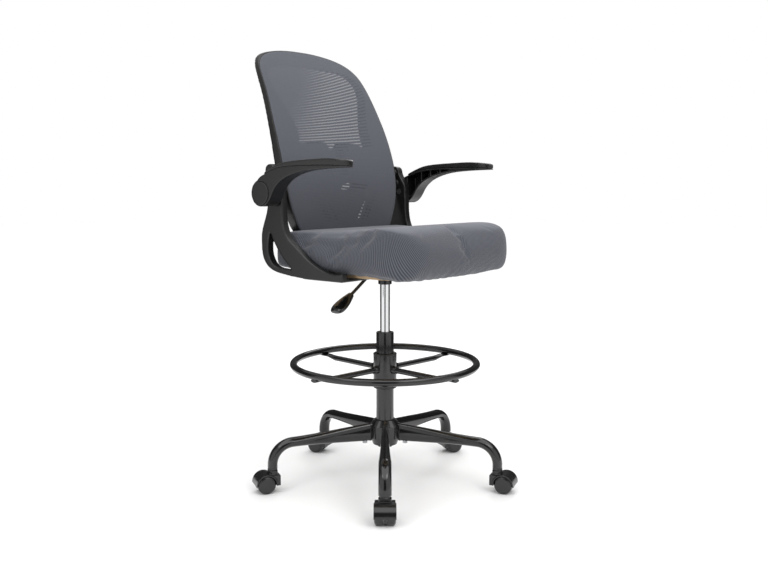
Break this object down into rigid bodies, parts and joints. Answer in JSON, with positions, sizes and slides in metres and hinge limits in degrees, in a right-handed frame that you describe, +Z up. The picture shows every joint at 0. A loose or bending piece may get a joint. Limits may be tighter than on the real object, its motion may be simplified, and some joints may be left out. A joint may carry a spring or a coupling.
{
  "type": "drafting chair",
  "caption": "Tall swivel drafting chair with a mesh back, padded seat, flip-up arms, adjustable foot ring and a star base on casters.",
  "frame": {"origin": "on the floor under the column axis", "axes": "+Z up, the sitter faces -Y, the sitter's left is +X"},
  "size_m": [0.7216, 0.736, 1.232],
  "materials": {
    "powder_black": "gloss",
    "chrome": "polished",
    "zinc_steel": "satin",
    "plain_steel": "satin",
    "frame_plastic": "satin",
    "caster_plastic": "satin",
    "lever_plastic": "gloss",
    "guide_plastic": "matte",
    "rubber": "matte",
    "board_wood": "sanded",
    "seat_fabric": "woven",
    "back_mesh_fabric": "open mesh",
    "pad_plastic": "satin"
  },
  "bodies": {
    "base": {"base_hub": "powder_black", "caster_sockets": "guide_plastic", "leg_bolts": "zinc_steel", "column_tube": "powder_black", "column_guide_bush": "guide_plastic", "thrust_bearing": "plain_steel", "base_leg_1": "powder_black", "base_leg_2": "powder_black", "base_leg_3": "powder_black", "base_leg_4": "powder_black", "base_leg_5": "powder_black"},
    "piston": {"piston_rod": "chrome", "retaining_clip": "plain_steel", "rubber_bumper": "rubber"},
    "foot_ring_slider": {"foot_ring_collet": "frame_plastic"},
    "foot_ring": {"foot_ring_hub": "powder_black", "foot_ring_tube": "powder_black", "foot_ring_spokes": "powder_black"},
    "seat": {"gas_cylinder": "chrome", "cylinder_socket": "powder_black", "seat_plate": "powder_black", "seat_plate_bolts": "zinc_steel", "seat_board": "board_wood", "seat_cushion": "seat_fabric", "side_bracket_left": "frame_plastic", "side_bracket_right": "frame_plastic", "bracket_bolts": "zinc_steel", "arm_pivot_pins": "plain_steel", "back_frame": "frame_plastic", "back_mesh": "back_mesh_fabric", "lumbar_support": "frame_plastic"},
    "lever": {"lever_rod": "powder_black", "lever_handle": "lever_plastic"},
    "button": {"release_button": "plain_steel"},
    "arm_left": {"armrest_left": "frame_plastic", "arm_pad_left": "pad_plastic", "arm_cap_left": "frame_plastic"},
    "arm_right": {"armrest_right": "frame_plastic", "arm_pad_right": "pad_plastic", "arm_cap_right": "frame_plastic"},
    "caster_1": {"caster_1_hood": "caster_plastic", "caster_1_stem_and_axle": "zinc_steel"},
    "caster_1_left_wheel": {"caster_1_wheel_left": "caster_plastic"},
    "caster_1_right_wheel": {"caster_1_wheel_right": "caster_plastic"},
    "caster_2": {"caster_2_hood": "caster_plastic", "caster_2_stem_and_axle": "zinc_steel"},
    "caster_2_left_wheel": {"caster_2_wheel_left": "caster_plastic"},
    "caster_2_right_wheel": {"caster_2_wheel_right": "caster_plastic"},
    "caster_3": {"caster_3_hood": "caster_plastic", "caster_3_stem_and_axle": "zinc_steel"},
    "caster_3_left_wheel": {"caster_3_wheel_left": "caster_plastic"},
    "caster_3_right_wheel": {"caster_3_wheel_right": "caster_plastic"},
    "caster_4": {"caster_4_hood": "caster_plastic", "caster_4_stem_and_axle": "zinc_steel"},
    "caster_4_left_wheel": {"caster_4_wheel_left": "caster_plastic"},
    "caster_4_right_wheel": {"caster_4_wheel_right": "caster_plastic"},
    "caster_5": {"caster_5_hood": "caster_plastic", "caster_5_stem_and_axle": "zinc_steel"},
    "caster_5_left_wheel": {"caster_5_wheel_left": "caster_plastic"},
    "caster_5_right_wheel": {"caster_5_wheel_right": "caster_plastic"}
  },
  "joints": [
    {"name": "caster_1_swivel", "type": "hinge", "parent": "base", "child": "caster_1", "pos_m": [-0.2505, -0.21019, 0.06], "axis": [0, 0, 1], "continuous": true},
    {"name": "caster_1_left_roll", "type": "hinge", "parent": "caster_1", "child": "caster_1_left_wheel", "pos_m": [-0.26735, -0.22433, 0.025], "axis": [0.6428, -0.766, 0], "continuous": true},
    {"name": "caster_1_right_roll", "type": "hinge", "parent": "caster_1", "child": "caster_1_right_wheel", "pos_m": [-0.26735, -0.22433, 0.025], "axis": [0.6428, -0.766, 0], "continuous": true},
    {"name": "caster_2_swivel", "type": "hinge", "parent": "base", "child": "caster_2", "pos_m": [0.1225, -0.30319, 0.06], "axis": [0, 0, 1], "continuous": true},
    {"name": "caster_2_left_roll", "type": "hinge", "parent": "caster_2", "child": "caster_2_left_wheel", "pos_m": [0.12929, -0.32411, 0.025], "axis": [0.9511, 0.309, 0], "continuous": true},
    {"name": "caster_2_right_roll", "type": "hinge", "parent": "caster_2", "child": "caster_2_right_wheel", "pos_m": [0.12929, -0.32411, 0.025], "axis": [0.9511, 0.309, 0], "continuous": true},
    {"name": "caster_3_swivel", "type": "hinge", "parent": "base", "child": "caster_3", "pos_m": [0.3262, 0.02281, 0.06], "axis": [0, 0, 1], "continuous": true},
    {"name": "caster_3_left_roll", "type": "hinge", "parent": "caster_3", "child": "caster_3_left_wheel", "pos_m": [0.34614, 0.01351, 0.025], "axis": [0.4226, 0.9063, 0], "continuous": true},
    {"name": "caster_3_right_roll", "type": "hinge", "parent": "caster_3", "child": "caster_3_right_wheel", "pos_m": [0.34614, 0.01351, 0.025], "axis": [0.4226, 0.9063, 0], "continuous": true},
    {"name": "caster_4_swivel", "type": "hinge", "parent": "base", "child": "caster_4", "pos_m": [0.07911, 0.31729, 0.06], "axis": [0, 0, 1], "continuous": true},
    {"name": "caster_4_left_roll", "type": "hinge", "parent": "caster_4", "child": "caster_4_left_wheel", "pos_m": [0.07341, 0.33854, 0.025], "axis": [-0.9659, -0.2588, 0], "continuous": true},
    {"name": "caster_4_right_roll", "type": "hinge", "parent": "caster_4", "child": "caster_4_right_wheel", "pos_m": [0.07341, 0.33854, 0.025], "axis": [-0.9659, -0.2588, 0], "continuous": true},
    {"name": "caster_5_swivel", "type": "hinge", "parent": "base", "child": "caster_5", "pos_m": [-0.27731, 0.17328, 0.06], "axis": [0, 0, 1], "continuous": true},
    {"name": "caster_5_left_roll", "type": "hinge", "parent": "caster_5", "child": "caster_5_left_wheel", "pos_m": [-0.29674, 0.18361, 0.025], "axis": [-0.4695, -0.8829, 0], "continuous": true},
    {"name": "caster_5_right_roll", "type": "hinge", "parent": "caster_5", "child": "caster_5_right_wheel", "pos_m": [-0.29674, 0.18361, 0.025], "axis": [-0.4695, -0.8829, 0], "continuous": true},
    {"name": "seat_swivel", "type": "hinge", "parent": "base", "child": "piston", "pos_m": [0, 0, 0.116], "axis": [0, 0, 1], "continuous": true},
    {"name": "seat_height", "type": "slide", "parent": "piston", "child": "seat", "axis": [0, 0, 1], "range_m": [-0.13, 0.065]},
    {"name": "foot_ring_height", "type": "slide", "parent": "base", "child": "foot_ring_slider", "axis": [0, 0, 1], "range_m": [-0.085, 0.03]},
    {"name": "foot_ring_twist", "type": "hinge", "parent": "foot_ring_slider", "child": "foot_ring", "pos_m": [0, 0, 0.32], "axis": [0, 0, 1], "range_deg": [0, 180]},
    {"name": "height_lever", "type": "hinge", "parent": "seat", "child": "lever", "pos_m": [-0.042, 0, 0.5988], "axis": [0, 1, 0], "range_deg": [0, 4], "stiffness_Nm_per_rad": 6, "springref_deg": -2.86},
    {"name": "button_press", "type": "slide", "parent": "seat", "child": "button", "axis": [0, 0, -1], "range_m": [0, 0.003]},
    {"name": "arm_left_flip", "type": "hinge", "parent": "seat", "child": "arm_left", "pos_m": [0.278, 0.154, 0.822], "axis": [-1, 0, 0], "range_deg": [0, 90]},
    {"name": "arm_right_flip", "type": "hinge", "parent": "seat", "child": "arm_right", "pos_m": [-0.278, 0.154, 0.822], "axis": [-1, 0, 0], "range_deg": [0, 90]}
  ],
  "couplings": [
    {"joint": "button_press", "follows": "height_lever", "m_per_rad": 0.042}
  ]
}
